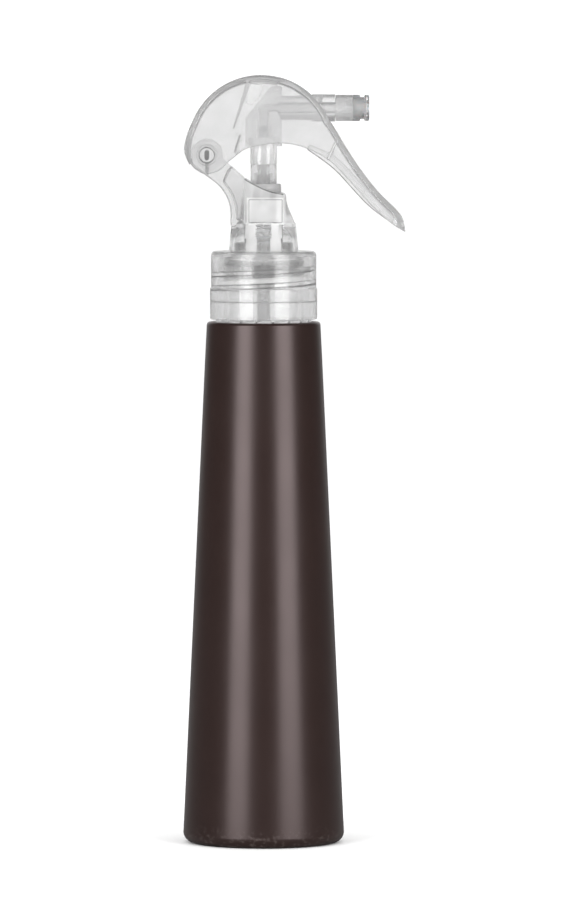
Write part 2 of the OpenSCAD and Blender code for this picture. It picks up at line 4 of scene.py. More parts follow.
import bmesh
import bpy
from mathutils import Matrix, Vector


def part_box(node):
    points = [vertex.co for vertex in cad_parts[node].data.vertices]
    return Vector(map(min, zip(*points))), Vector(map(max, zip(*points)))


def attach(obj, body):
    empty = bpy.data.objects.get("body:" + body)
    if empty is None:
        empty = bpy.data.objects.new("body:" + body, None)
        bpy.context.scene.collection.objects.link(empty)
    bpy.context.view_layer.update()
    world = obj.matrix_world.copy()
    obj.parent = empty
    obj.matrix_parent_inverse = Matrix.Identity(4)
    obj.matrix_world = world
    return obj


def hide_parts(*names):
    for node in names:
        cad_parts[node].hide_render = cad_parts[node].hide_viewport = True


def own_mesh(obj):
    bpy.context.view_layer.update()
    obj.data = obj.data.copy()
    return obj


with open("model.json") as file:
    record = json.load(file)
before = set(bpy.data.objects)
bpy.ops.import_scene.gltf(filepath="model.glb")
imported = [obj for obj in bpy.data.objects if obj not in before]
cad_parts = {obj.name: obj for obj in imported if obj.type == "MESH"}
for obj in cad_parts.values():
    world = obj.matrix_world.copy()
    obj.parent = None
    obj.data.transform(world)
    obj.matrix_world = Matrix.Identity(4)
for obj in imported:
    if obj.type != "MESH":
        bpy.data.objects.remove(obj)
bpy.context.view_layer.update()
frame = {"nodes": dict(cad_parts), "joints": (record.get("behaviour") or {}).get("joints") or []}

# Looks of a tapered spray bottle with a clear mini trigger sprayer.
# Shapes are written in millimetres in the row frame and become metres when a mesh is made.
# Sprayer shapes are written above the deck, the closure's top face.

MM = 0.001
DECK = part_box("closure")[1].z / MM


def corner(node_name, end):
    """A corner of a CAD node's box, in millimetres. end: 0 lowest, 1 highest."""
    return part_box(node_name)[end] / MM


# ---- outlines ------------------------------------------------------------------------------


def arc(centre, radius, start, end, steps):
    """Points of an arc, angles in degrees."""
    angles = [math.radians(start + (end - start) * i / steps) for i in range(steps + 1)]
    return [(centre[0] + radius * math.cos(a), centre[1] + radius * math.sin(a)) for a in angles]


def spline(points, steps):
    """A smooth curve through points, with steps pieces between neighbours."""
    out = []
    last = len(points) - 1
    for i in range(last):
        a, b, c, d = (Vector(points[max(0, min(last, i + k))]) for k in (-1, 0, 1, 2))
        for k in range(steps):
            t = k / steps
            p = 2 * b + (c - a) * t + (2 * a - 5 * b + 4 * c - d) * t**2 + (3 * b - a - 3 * c + d) * t**3
            out.append(tuple(p / 2))
    return out + [tuple(points[-1])]


def rounded(points, steps=4):
    """A closed outline in which a point (x, y, r) becomes a fillet of radius r."""
    out = []
    for i, p in enumerate(points):
        if len(p) == 2:
            out.append(p)
            continue
        here = Vector(p[:2])
        back = Vector(points[i - 1][:2]) - here
        ahead = Vector(points[(i + 1) % len(points)][:2]) - here
        half = back.angle(ahead) / 2
        reach = min(p[2] / math.tan(half), back.length * 0.49, ahead.length * 0.49)
        radius = reach * math.tan(half)
        centre = here + (back.normalized() + ahead.normalized()).normalized() * radius / math.sin(half)
        a = here + back.normalized() * reach - centre
        b = here + ahead.normalized() * reach - centre
        turn = a.angle_signed(b)
        for k in range(steps + 1):
            t = -turn * k / steps
            out.append((centre.x + a.x * math.cos(t) - a.y * math.sin(t),
                        centre.y + a.x * math.sin(t) + a.y * math.cos(t)))
    return out


def resampled(points, count):
    """count + 1 points at equal steps along a polyline."""
    lengths = [0.0]
    for a, b in zip(points, points[1:]):
        lengths.append(lengths[-1] + (Vector(b) - Vector(a)).length)
    out = []
    i = 0
    for k in range(count + 1):
        s = lengths[-1] * k / count
        while i < len(points) - 2 and lengths[i + 1] < s:
            i += 1
        t = (s - lengths[i]) / (lengths[i + 1] - lengths[i])
        out.append(Vector(points[i]).lerp(Vector(points[i + 1]), t))
    return out


def normals(points):
    """Unit vectors to the left of a polyline's direction of travel."""
    last = len(points) - 1
    out = []
    for i in range(len(points)):
        along = (points[min(last, i + 1)] - points[max(0, i - 1)]).normalized()
        out.append(Vector((-along.y, along.x)))
    return out


# ---- meshes --------------------------------------------------------------------------------

# degrees between faces that leave a sharp edge, and metres within which points become one
SHARP = 32
SHARP_AFTER_CUTS = 30
WELD_REACH = 1e-6
MERGE_REACH = 1e-7


def piece(name, verts, faces):
    """A mesh object from millimetres."""
    mesh = bpy.data.meshes.new(name)
    mesh.from_pydata([Vector(v) * MM for v in verts], [], faces)
    return finished(name, mesh, SHARP)


def finished(name, mesh, sharp):
    """An object with a clean mesh, smooth except where faces meet at more than sharp degrees."""
    bm = bmesh.new()
    bm.from_mesh(mesh)
    bmesh.ops.remove_doubles(bm, verts=bm.verts, dist=MERGE_REACH)
    bmesh.ops.recalc_face_normals(bm, faces=bm.faces)
    for face in bm.faces:
        face.smooth = True
    bm.to_mesh(mesh)
    bm.free()
    mesh.set_sharp_from_angle(angle=math.radians(sharp))
    obj = bpy.data.objects.new(name, mesh)
    bpy.context.scene.collection.objects.link(obj)
    return obj


def revolve(name, profile, segments, shape=None):
    """A closed profile of (radius, height) turned about Z. shape(angle, radius, height) may move a point."""
    verts = []
    for k in range(segments):
        angle = 2 * math.pi * k / segments
        for r, z in profile:
            if shape:
                r, z = shape(angle, r, z)
            verts.append((r * math.cos(angle), r * math.sin(angle), z))
    n = len(profile)
    faces = []
    for k in range(segments):
        this, after = k * n, (k + 1) % segments * n
        for i in range(n):
            j = (i + 1) % n
            on_axis = profile[i][0] == 0 and profile[j][0] == 0
            if not on_axis:
                faces.append([this + i, after + i, after + j, this + j])
    return piece(name, verts, faces)


def prism(name, outline, half_width, middle=0.0):
    """An outline in the XZ plane, thickened to both sides of y = middle."""
    n = len(outline)
    verts = [(x, middle + side, z) for side in (-half_width, half_width) for x, z in outline]
    faces = [list(range(n)), list(range(2 * n - 1, n - 1, -1))]
    faces += [[i, (i + 1) % n, n + (i + 1) % n, n + i] for i in range(n)]
    return piece(name, verts, faces)


def rod(name, radius, start, end, segments=64):
    """A round rod between two points."""
    start, end = Vector(start), Vector(end)
    turn = (end - start).to_track_quat("Z", "Y")
    ring = [Vector((radius * math.cos(a), radius * math.sin(a), 0))
            for a in (2 * math.pi * k / segments for k in range(segments))]
    verts = [start + turn @ p for p in ring] + [end + turn @ p for p in ring]
    faces = [list(range(segments)), list(range(2 * segments - 1, segments - 1, -1))]
    faces += [[k, (k + 1) % segments, segments + (k + 1) % segments, segments + k] for k in range(segments)]
    return piece(name, verts, faces)


def finished_again(obj):
    """Cleans a mesh after cuts and marks its sharp edges anew."""
    name, mesh = obj.name, obj.data
    bpy.data.objects.remove(obj)
    again = finished(name, mesh, SHARP_AFTER_CUTS)
    weigh(again)
    return again


def combine(target, tool, operation):
    """Cuts tool from target, or joins it on, and deletes the tool. Faces from tool keep their finish."""
    if not tool.data.materials:
        paint(tool, *target.data.materials)
    modifier = target.modifiers.new("combine", "BOOLEAN")
    modifier.operation = operation
    modifier.solver = "MANIFOLD"
    modifier.object = tool
    apply_modifiers(target)
    bpy.data.objects.remove(tool)


def apply_modifiers(obj):
    """Puts the result of obj's modifiers in its mesh."""
    bpy.context.view_layer.update()
    evaluated = obj.evaluated_get(bpy.context.evaluated_depsgraph_get())
    mesh = bpy.data.meshes.new_from_object(evaluated)
    obj.modifiers.clear()
    old, obj.data = obj.data, mesh
    bpy.data.meshes.remove(old)
    mesh.name = obj.name


def soften(obj, width, segments=2, angle=40):
    """Small round on every edge sharper than angle, with the flat faces kept flat."""
    bevel = obj.modifiers.new("edge round", "BEVEL")
    bevel.width = width * MM
    bevel.segments = segments
    bevel.limit_method = "ANGLE"
    bevel.angle_limit = math.radians(angle)
    bevel.use_clamp_overlap = True
    weigh(obj)


def weigh(obj):
    """Keeps large flat faces flat where they meet small rounds."""
    weighted = obj.modifiers.new("flat faces", "WEIGHTED_NORMAL")
    weighted.keep_sharp = True


def paint(obj, *materials):
    """Gives obj its materials. All of its faces keep the first until they are marked."""
    obj.data.materials.clear()
    for material in materials:
        obj.data.materials.append(material)


def mark(obj, material, where):
    """Gives one of obj's materials to the faces for which where(middle in mm, normal) is true."""
    index = list(obj.data.materials).index(material)
    for face in obj.data.polygons:
        if where(face.center / MM, face.normal):
            face.material_index = index


# ---- materials -----------------------------------------------------------------------------


class Tree:
    """The node tree of a material or world, with short calls for adding and linking nodes."""

    def __init__(self, owner, place="Object"):
        self.owner = owner
        owner.use_nodes = True
        self.nodes = owner.node_tree.nodes
        self.links = owner.node_tree.links
        self.nodes.clear()
        self.place = self.add("ShaderNodeTexCoord").outputs[place]

    def feed(self, socket, value):
        """Links value to an input socket, or sets it there."""
        if isinstance(value, bpy.types.NodeSocket):
            self.links.new(value, socket)
        else:
            socket.default_value = value

    def add(self, kind, **settings):
        """A node. A setting is an attribute of the node, or an input: a value or a socket to link."""
        node = self.nodes.new(kind)
        for key, value in settings.items():
            if hasattr(node, key):
                setattr(node, key, value)
            else:
                self.feed(node.inputs[key.replace("_", " ")], value)
        return node

    def noise(self, scale, detail, place=None):
        """Cloudy noise from 0 to 1. scale is in cells per metre."""
        made = self.add("ShaderNodeTexNoise", Scale=scale, Detail=detail, Vector=place or self.place)
        return made.outputs["Fac"]

    def ramp(self, value, low, high, out_low=0.0, out_high=1.0):
        """out_low where value is low, out_high where it is high, and even steps between."""
        made = self.add("ShaderNodeMapRange", Value=value, From_Min=low, From_Max=high)
        self.feed(made.inputs["To Min"], out_low)
        self.feed(made.inputs["To Max"], out_high)
        return made.outputs["Result"]

    def blend(self, factor, a, b):
        """Colour a where factor is 0 and b where it is 1."""
        made = self.add("ShaderNodeMix", data_type="RGBA")
        first, second, mixed = 6, 7, 2  # sockets of the node's colour mode
        self.feed(made.inputs[0], factor)
        self.feed(made.inputs[first], a)
        self.feed(made.inputs[second], b)
        return made.outputs[mixed]

    def math(self, operation, a, b=0.0):
        made = self.add("ShaderNodeMath", operation=operation)
        self.feed(made.inputs[0], a)
        self.feed(made.inputs[1], b)
        return made.outputs[0]

    def bump(self, height, distance, strength=1.0, normal=None):
        """A bump whose full height is distance, in millimetres, on top of the bump normal."""
        made = self.add("ShaderNodeBump", Height=height, Distance=distance * MM, Strength=strength)
        if normal:
            self.links.new(normal, made.inputs["Normal"])
        return made.outputs["Normal"]

    def height(self):
        """The height above the base, in millimetres."""
        split = self.add("ShaderNodeSeparateXYZ", Vector=self.place)
        return self.math("MULTIPLY", split.outputs["Z"], 1 / MM)

    def mixed(self, factor, a, b):
        """Shader a where factor is 0 and b where it is 1."""
        made = self.add("ShaderNodeMixShader")
        for socket, value in zip(made.inputs, (factor, a, b)):
            self.feed(socket, value)
        return made.outputs[0]

    def done(self, surface):
        """Ends a material's tree and returns the material."""
        self.add("ShaderNodeOutputMaterial", Surface=surface)
        return self.owner


def material_tree(name):
    return Tree(bpy.data.materials.new(name))


def colour(red, green, blue):
    return (red, green, blue, 1)


def grey(value):
    return colour(value, value, value)


def clear_plastic(name, frost, haze, veil=0.5, tint=0.99, wave=0.02, ior=1.49):
    """Clear moulded plastic. frost is its roughness, haze its share of cloudy scatter, veil the cloud's
    brightness, tint what one surface lets through and wave the height in millimetres of its flow waves.
    It has fine scratches and uneven gloss, and painted shade where it is seen at a low angle."""
    tree = material_tree(name)
    rough = tree.ramp(tree.noise(420, 3), 0.35, 0.7, frost * 0.7, frost * 1.5)
    waves = tree.bump(tree.noise(140, 2), wave)
    normal = tree.bump(tree.noise(2600, 4), 0.004, 0.5, waves)
    # painted shade: the colour darkens to 0.7 of the tint where the surface is seen at a low angle
    facing = tree.add("ShaderNodeLayerWeight", Blend=0.5).outputs["Facing"]
    shade = tree.blend(tree.math("POWER", facing, 2.5), grey(tint), grey(tint * 0.7))
    glass = tree.add("ShaderNodeBsdfPrincipled", Base_Color=shade, Roughness=rough, IOR=ior, Normal=normal,
                     Transmission_Weight=1)
    front = tree.add("ShaderNodeBsdfDiffuse", Color=grey(veil), Normal=normal)
    back = tree.add("ShaderNodeBsdfTranslucent", Color=grey(veil), Normal=normal)
    cloud = tree.ramp(tree.noise(90, 2), 0.3, 0.7, haze * 0.75, haze * 1.25)
    milk = tree.mixed(0.5, front.outputs[0], back.outputs[0])
    body = tree.mixed(cloud, glass.outputs[0], milk)
    # lamps shine through with little loss
    passed = tree.add("ShaderNodeBsdfTransparent", Color=grey(0.94))
    lamp = tree.add("ShaderNodeLightPath").outputs["Is Shadow Ray"]
    return tree.done(tree.mixed(lamp, body, passed.outputs[0]))


def brown_lacquer():
    """Satin dark brown lacquer, with orange peel, faint clouding and a scuffed foot."""
    tree = material_tree("brown lacquer")
    clouds = tree.blend(tree.noise(60, 4), colour(0.0110, 0.0050, 0.0040), colour(0.0160, 0.0078, 0.0062))
    scuff_top, scuff_full = 7.0, 0.6  # heights above the floor, in millimetres
    foot = tree.ramp(tree.height(), scuff_top, scuff_full)
    scuff = tree.math("MULTIPLY", foot, tree.ramp(tree.noise(900, 6), 0.52, 0.72))
    base = tree.blend(tree.math("MULTIPLY", scuff, 0.55), clouds, colour(0.10, 0.082, 0.075))
    satin = tree.ramp(tree.noise(35, 3), 0.3, 0.7, 0.28, 0.33)
    rough = tree.math("ADD", satin, tree.math("MULTIPLY", scuff, 0.2))
    peel = tree.bump(tree.noise(1500, 2), 0.006, 0.35)
    normal = tree.bump(tree.noise(220, 2), 0.012, 0.5, peel)
    shader = tree.add("ShaderNodeBsdfPrincipled", Base_Color=base, Roughness=rough, IOR=1.5, Normal=normal,
                      Specular_Tint=colour(1.0, 0.84, 0.84), Specular_IOR_Level=0.6)
    return tree.done(shader.outputs[0])


def grey_insert_plastic():
    """Soft translucent grey plastic that glows a little."""
    tree = material_tree("grey insert")
    cloud = tree.blend(tree.noise(250, 3), colour(0.34, 0.345, 0.35), colour(0.2992, 0.3036, 0.308))
    rough = tree.ramp(tree.noise(900, 4), 0.3, 0.7, 0.336, 0.504)
    normal = tree.bump(tree.noise(3000, 3), 0.01, 0.4)
    shader = tree.add("ShaderNodeBsdfPrincipled", Base_Color=cloud, Roughness=rough, Normal=normal,
                      Subsurface_Weight=0.3, Subsurface_Scale=1.0 * MM)
    return tree.done(shader.outputs[0])


def drawn_steel():
    """Spring steel with drawing streaks."""
    tree = material_tree("drawn steel")
    streaks = tree.add("ShaderNodeMapping", Vector=tree.place, Scale=(1, 1, 6)).outputs[0]
    wear = tree.noise(1200, 4, streaks)
    base = tree.blend(wear, colour(0.55, 0.56, 0.58), colour(0.72, 0.73, 0.74))
    rough = tree.ramp(wear, 0.3, 0.7, 0.2, 0.38)
    normal = tree.bump(wear, 0.01, 0.4)
    shader = tree.add("ShaderNodeBsdfPrincipled", Base_Color=base, Roughness=rough, Normal=normal,
                      Metallic=1.0)
    return tree.done(shader.outputs[0])


# lever: its walls, then painted shade for its rounded edge and for its corner lines
CLEAR_SHELL = clear_plastic("clear shell", frost=0.09, haze=0.24, veil=0.5, tint=0.965)
PAINTED_SHADE_RIM = clear_plastic("painted shade rim", frost=0.12, haze=0.6, veil=0.34, tint=0.9, wave=0.005)
PAINTED_SHADE_LINE = clear_plastic("painted shade line", frost=0.15, haze=0.55, veil=0.16, tint=0.6)
# pump body: arm, tower, skirt, window panels, painted light for their borders and painted shade for rings at
# the hinge
CLEAR_ARM = clear_plastic("clear arm", frost=0.1, haze=0.3, veil=0.36, tint=0.955)
CLEAR_TOWER = clear_plastic("clear tower", frost=0.12, haze=0.4, veil=0.68, tint=0.97)
CLEAR_SKIRT = clear_plastic("clear skirt", frost=0.09, haze=0.12, veil=0.55, tint=0.965)
# the window panels' material also paints light bands on the skirt
WINDOW_AND_PAINTED_LIGHT_BAND = clear_plastic("clear window and painted light band", frost=0.1, haze=0.65, veil=0.78, wave=0.005)
PAINTED_LIGHT_PATCH = clear_plastic("painted light patch", frost=0.12, haze=0.6, veil=0.78)
PAINTED_SHADE_RING = clear_plastic("painted shade ring", frost=0.12, haze=0.5, veil=0.42, tint=0.86)
# elbow with its spout, nozzle cap, collar, stem and barrel
CLEAR_HEAD = clear_plastic("clear head", frost=0.12, haze=0.23, veil=0.38, tint=0.94)
CLEAR_SPOUT = clear_plastic("clear spout", frost=0.12, haze=0.4, veil=0.45, wave=0.01)
CLEAR_NOZZLE = clear_plastic("clear nozzle", frost=0.1, haze=0.14, veil=0.62, wave=0.01)
CLEAR_COLLAR = clear_plastic("clear collar", frost=0.2, haze=0.45, veil=0.5, wave=0.01)
CLEAR_STEM = clear_plastic("clear stem", frost=0.12, haze=0.35, veil=0.36, tint=0.86)
CLEAR_PUMP = clear_plastic("clear pump", frost=0.08, haze=0.03, ior=1.15)
# closure: its wall, painted shade on its thread's lower flanks and on its bore above the thread, and its
# wall below the step
CLEAR_CAP = clear_plastic("clear closure", frost=0.18, haze=0.1, veil=0.45, tint=0.965)
PAINTED_SHADE_FLANK = clear_plastic("painted shade flank", frost=0.12, haze=0.7, veil=0.1, tint=0.5)
PAINTED_SHADE_BAND = clear_plastic("painted shade band", frost=0.16, haze=0.12, veil=0.2, tint=0.85)
CLEAR_FOOT = clear_plastic("clear foot", frost=0.13, haze=0.22, veil=0.48, tint=0.965)
# bottle's neck, painted shade on its top, and its ratchet lugs. A low index keeps the pump behind it in view
CLEAR_NECK = clear_plastic("clear neck", frost=0.03, haze=0.02, ior=1.3)
PAINTED_SHADE_NECK_TOP = clear_plastic("neck top with painted shade", frost=0.1, haze=0.3, veil=0.12, tint=0.55, ior=1.3)
CLEAR_LUG = clear_plastic("clear lug", frost=0.2, haze=0.6, veil=0.85, ior=1.2)
# small milky parts
SEAL = clear_plastic("milky seal", frost=0.4, haze=0.4)
GASKET = clear_plastic("milky gasket", frost=0.3, haze=0.5, veil=0.35)
NATURAL = clear_plastic("natural insert", frost=0.3, haze=0.2, veil=0.8, ior=1.15)
TUBE = clear_plastic("natural tube", frost=0.2, haze=0.35, veil=0.42, ior=1.15)
# insert, bottle's coat and springs
GREY = grey_insert_plastic()
BROWN = brown_lacquer()
STEEL = drawn_steel()

# ---- bottle --------------------------------------------------------------------------------

PITCH = 4.233
NECK_R = 12.5
BORE_R = 10.8
NECK_TOP = corner("bottle", 1).z
CLOSURE_GAP = 0.8
SHOULDER_Z = corner("closure", 0).z - CLOSURE_GAP
SIDE_TOP_R = 17.7
FOOT_CORNER_R = 3.2
# the straight side reaches its widest at the top of the foot's round corner
SIDE_FOOT_R = ((corner("bottle", 1).x - SIDE_TOP_R * FOOT_CORNER_R / SHOULDER_Z)
               / (1 - FOOT_CORNER_R / SHOULDER_Z))
WALL = 1.2
THREAD_TURNS = 1.5
THREAD_SET = 1.8  # from the neck's top down to the ridge's upper end
THREAD_Z = NECK_TOP - THREAD_SET - THREAD_TURNS * PITCH
LUGS = 18


def side(z, inset=0.0):
    """Radius of the straight side at height z, or of the wall's inner face."""
    return SIDE_FOOT_R + (SIDE_TOP_R - SIDE_FOOT_R) * z / SHOULDER_Z - inset


def thread(root, crest, start, turns, foot, top, turned=0.0):
    """A helical ridge from radius root to radius crest, foot wide at its base and top wide on its crest.
    It starts at height start and at the angle turned, and fades in and out at its ends."""
    per_turn = 120
    fade = 10
    count = round(turns * per_turn)
    rises = (0.0, 0.35, 0.8, 1.0)
    section = [(rise, -1) for rise in rises] + [(rise, 1) for rise in reversed(rises)]
    verts, faces = [], []
    for i in range(count + 1):
        a = 2 * math.pi * i / per_turn + turned
        height = max(0.03, min(1.0, i / fade, (count - i) / fade))
        for rise, flank in section:
            r = root + (crest - root) * rise * height
            half = (foot + (top - foot) * rise) * flank / 2
            verts.append((r * math.cos(a), r * math.sin(a), start + PITCH * i / per_turn + half))
    n = len(section)
    for i in range(count):
        for k in range(n):
            a, b = i * n + k, i * n + (k + 1) % n
            faces.append([a, a + n, b + n, b])
    faces += [list(range(n)), list(range(len(verts) - 1, len(verts) - n - 1, -1))]
    return piece("thread", verts, faces)


def bottle():
    corner_r, edge_r, lip_r = FOOT_CORNER_R, 1.0, 0.5
    push, ring = 2.5, 2.5
    foot_r = side(corner_r) - corner_r
    rim = foot_r - ring
    top_r = side(SHOULDER_Z)
    lug_in, lug_out, lug_rise = 13.0, 14.7, 1.4
    lip_h = 2.7
    # base with its push-up, side, shoulder with the lugs' ring, and neck
    outside = [(0, push), (rim - 6, push * 0.97), (rim - 3, push * 0.78), (rim - 0.6, 0.25), (rim, 0)]
    outside += arc((foot_r, corner_r), corner_r, -90, 0, 10)
    outside += [(side(z), z) for z in range(10, 160, 10)]
    outside += arc((top_r - edge_r, SHOULDER_Z - edge_r), edge_r, 0, 90, 6)
    outside += [(r, SHOULDER_Z) for r in (lug_out + 0.25, lug_out, 13.8, lug_in)]
    outside += [(NECK_R + 0.12, SHOULDER_Z + 0.12), (NECK_R, SHOULDER_Z + 0.4)]
    outside += arc((NECK_R - lip_r, NECK_TOP - lip_r), lip_r, 0, 90, 4)
    inside = arc((BORE_R + 0.3, NECK_TOP - 0.3), 0.3, 90, 180, 3)
    inside += [(BORE_R, SHOULDER_Z + 1.0), (BORE_R + 0.6, SHOULDER_Z - 0.4)]
    inside += [(top_r - WALL - 2.5, SHOULDER_Z - 1.6), (side(SHOULDER_Z - 4, WALL), SHOULDER_Z - 4)]
    inside += arc((foot_r, corner_r), corner_r - WALL, 0, -90, 6)
    inside += [(rim - 3, push * 0.78 + WALL), (rim - 6, push * 0.97 + WALL), (0, push + WALL)]

    def shape(angle, r, z):
        """Raises the lugs' ring into ramps."""
        if z == SHOULDER_Z and lug_in <= r <= lug_out:
            z += lug_rise * ((angle * LUGS / (2 * math.pi)) % 1.0) ** 0.8
        return r, z

    def in_neck(middle, normal):
        return middle.z > SHOULDER_Z - 0.9 and middle.xy.length < top_r - edge_r - 1.2

    obj = revolve("bottle_blown", outside + inside, 288, shape)
    combine(obj, thread(NECK_R - 0.3, NECK_R + 1.15, THREAD_Z, THREAD_TURNS, 2.3, 1.0), "UNION")
    obj = finished_again(obj)
    paint(obj, BROWN, CLEAR_NECK, PAINTED_SHADE_NECK_TOP, CLEAR_LUG)
    mark(obj, CLEAR_NECK, in_neck)
    # painted shade on the neck's top
    mark(obj, PAINTED_SHADE_NECK_TOP, lambda middle, normal: middle.z > NECK_TOP - lip_h)
    mark(obj, CLEAR_LUG, lambda middle, normal: middle.z > SHOULDER_Z + 0.12 and middle.xy.length > 12.9)
    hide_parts("bottle")
    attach(obj, "bottle")


# ---- closure -------------------------------------------------------------------------------

CLOSURE_PLASTIC_AND_PAINTED_SHADE = (CLEAR_CAP, PAINTED_SHADE_FLANK, PAINTED_SHADE_BAND, CLEAR_FOOT)
CLOSURE_TURNS = 1.75


def closure():
    foot = corner("closure", 0).z
    lower_r = corner("closure", 1).x
    upper_r = lower_r - 0.3
    bore, recess, hole, top_t = 14.3, 15.2, 10.4, 1.5
    step_z = DECK - 11.5
    recess_top = foot + 5.8
    band_z = NECK_TOP - 4.0
    profile = rounded([(hole, DECK, 0.3), (upper_r, DECK, 1.1), (upper_r, step_z + 0.3, 0.3),
                       (lower_r, step_z, 0.3), (lower_r, foot, 0.35), (recess, foot, 0.3),
                       (recess, recess_top - 0.4, 0.2), (bore, recess_top)], 5)
    profile += [(bore, band_z), (bore, DECK - top_t), (hole, DECK - top_t)]
    obj = revolve("closure_moulded", profile, 256)
    paint(obj, *CLOSURE_PLASTIC_AND_PAINTED_SHADE)
    # painted shade on the bore above the thread
    mark(obj, PAINTED_SHADE_BAND, lambda middle, normal: middle.z > band_z and middle.xy.length < bore + 0.1)
    mark(obj, CLEAR_FOOT, lambda middle, normal: middle.z < step_z)
    # its ridge starts a quarter turn on from the neck's, and runs below it
    ridge_drop = 1.5
    ridge_z = THREAD_Z + PITCH / 4 - ridge_drop
    ridge = thread(bore + 0.3, bore - 1.3, ridge_z, CLOSURE_TURNS, 2.0, 0.9, math.pi / 2)
    paint(ridge, *CLOSURE_PLASTIC_AND_PAINTED_SHADE)
    # painted shade on the ridge's lower flanks
    mark(ridge, PAINTED_SHADE_FLANK, lambda middle, normal: normal.z < -0.3)
    combine(obj, ridge, "UNION")
    obj = finished_again(obj)
    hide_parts("closure")
    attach(obj, "closure")


# ---- trigger lever -------------------------------------------------------------------------

PIVOT = next(Vector(j["pos_m"]) / MM for j in frame["joints"] if j["name"] == "trigger_pull")
PIVOT_X, PIVOT_UP = PIVOT.x, PIVOT.z - DECK
DOME = (-0.8, 31.7)
DOME_R = 23.0
LEVER_W = corner("trigger_lever", 1).y
LEVER_WALL = 1.3
LEVER_INSIDE = LEVER_W - LEVER_WALL
LEVER_WEB = 1.6
EAR_BACK = [(-17.4, 23.95), (-20.9, 24.8), (-23.5, 27.7), (-24.65, 31.6), (-23.9, 35.8), (-22.5, 39.6)]
EAR_FRONT = [(-17.4, 23.95), (-13.9, 25.1), (-11.2, 27.6)]
TAIL = [(20.9, 40.2), (22.9, 36.9), (25.0, 33.3), (29.8, 25.9), (35.7, 18.4), (41.2, 13.0), (43.2, 10.2),
        (43.9, 7.2)]
UNDER = [(-11.2, 27.6), (-6.0, 31.6), (-1.5, 32.9), (4.0, 33.6), (9.3, 33.2), (15.0, 31.3), (20.6, 28.0),
         (24.6, 24.1), (29.3, 18.9), (34.1, 13.6), (39.7, 8.7), (43.9, 6.1)]
LEVER_PLASTIC_AND_PAINTED_LIGHT = (CLEAR_SHELL, PAINTED_SHADE_RIM, PAINTED_SHADE_LINE, PAINTED_SHADE_RING, PAINTED_LIGHT_PATCH)


def lever_half_width(x):
    """Half the lever's width: even over the dome, narrower to the tip and rounded off at both ends."""
    width = LEVER_W
    taper_x, tip_x, tip_r, ear_x = 14, 40.2, 3.9, -22
    if x > taper_x:
        width -= 0.85 * ((x - taper_x) / 26) ** 1.2
    if x > tip_x:
        width -= tip_r - math.sqrt(max(0.0, tip_r**2 - (x - tip_x) ** 2))
    if x < ear_x:
        width -= 0.18 * min(2.7, ear_x - x) ** 2
    return width


def lever_loft(name, outer, lower, inset, top_r, low_r):
    """A closed form between the outer line and the lower line, with round corners along both."""
    stations = 150
    rungs = 8
    curve = 5
    top, low = resampled(outer, stations), resampled(lower, stations)
    top_n = normals(top)
    low_n = [-n for n in normals(low)]
    verts = []
    for i in range(stations + 1):
        gap = (top[i] - low[i]).length
        r_top = min(top_r, gap * 0.4)
        r_low = min(low_r, gap * 0.2)
        # points up one side, each with how far it stands back from the full width
        half = []
        for k in range(curve + 1):
            a = math.pi / 2 * k / curve
            p = low[i] - low_n[i] * r_low * (1 - math.cos(a))
            half.append((p, r_low * (1 - math.sin(a))))
        start, end = low[i] - low_n[i] * r_low, top[i] - top_n[i] * r_top
        for k in range(1, rungs):
            half.append((start.lerp(end, k / rungs), 0.0))
        for k in range(curve + 1):
            a = math.pi / 2 * k / curve
            p = top[i] - top_n[i] * r_top * (1 - math.sin(a))
            half.append((p, r_top * (1 - math.cos(a))))
        ring = [(p, lever_half_width(p.x) - inset - back) for p, back in half]
        verts += [(p.x, w, p.y + DECK) for p, w in ring]
        verts += [(p.x, -w, p.y + DECK) for p, w in reversed(ring)]
    n = 2 * len(half)
    faces = []
    for i in range(stations):
        for k in range(n):
            a, b = i * n + k, i * n + (k + 1) % n
            faces.append([a, b, b + n, a + n])
    faces += [list(range(n)), list(range(len(verts) - 1, len(verts) - n - 1, -1))]
    return piece(name, verts, faces)


def raised(points):
    """Points above the deck, as points in the row frame."""
    return [(x, z + DECK) for x, z in points]


def lever_rib(outline, half_width, middle=0.0, finish=None):
    """A plate across the lever. Where a finish is given, all its faces have it; most of those given are
    painted shade and painted light.
    """
    rib = prism("rib", raised(outline), half_width, middle)
    if finish:
        paint(rib, *LEVER_PLASTIC_AND_PAINTED_LIGHT)
        mark(rib, finish, lambda middle, normal: True)
    return rib


def edged_rib(outline, half_width, chamfer, ends=None):
    """A rib whose chamfered edges carry a painted shade line, with the painted shade ends on its end faces.
    """
    rib = lever_rib(outline, half_width)
    soften(rib, chamfer, 1)
    apply_modifiers(rib)
    paint(rib, *LEVER_PLASTIC_AND_PAINTED_LIGHT)
    mark(rib, PAINTED_SHADE_LINE, lambda middle, normal: 0.1 < abs(normal.y) < 0.97)
    if ends:
        mark(rib, ends, lambda middle, normal: abs(normal.y) >= 0.97)
    return rib


def lever_cavity(outer):
    """What the web and the side walls enclose. Its rounded corners leave painted shade lines in the hollow.
    """
    web_end = 30.2
    tip_x = 42.0
    line = resampled(outer, 160)
    inner = [p - n * LEVER_WEB for p, n in zip(line, normals(line))]
    inner = [tuple(p) for p in inner if p.x < tip_x and (p.x > 0 or p.y > web_end + 0.2)]
    roof = [(-30, web_end), (inner[0][0] - 0.2, web_end)] + inner
    cavity = lever_loft("cavity", roof, [(-30, 4), (39.6, 4)], LEVER_WALL, 0.6, 0.2)
    paint(cavity, *LEVER_PLASTIC_AND_PAINTED_LIGHT)
    mark(cavity, PAINTED_SHADE_LINE, lambda middle, normal: 0.05 < abs(normal.y) < 0.97 and middle.z > DECK + 9)
    return cavity


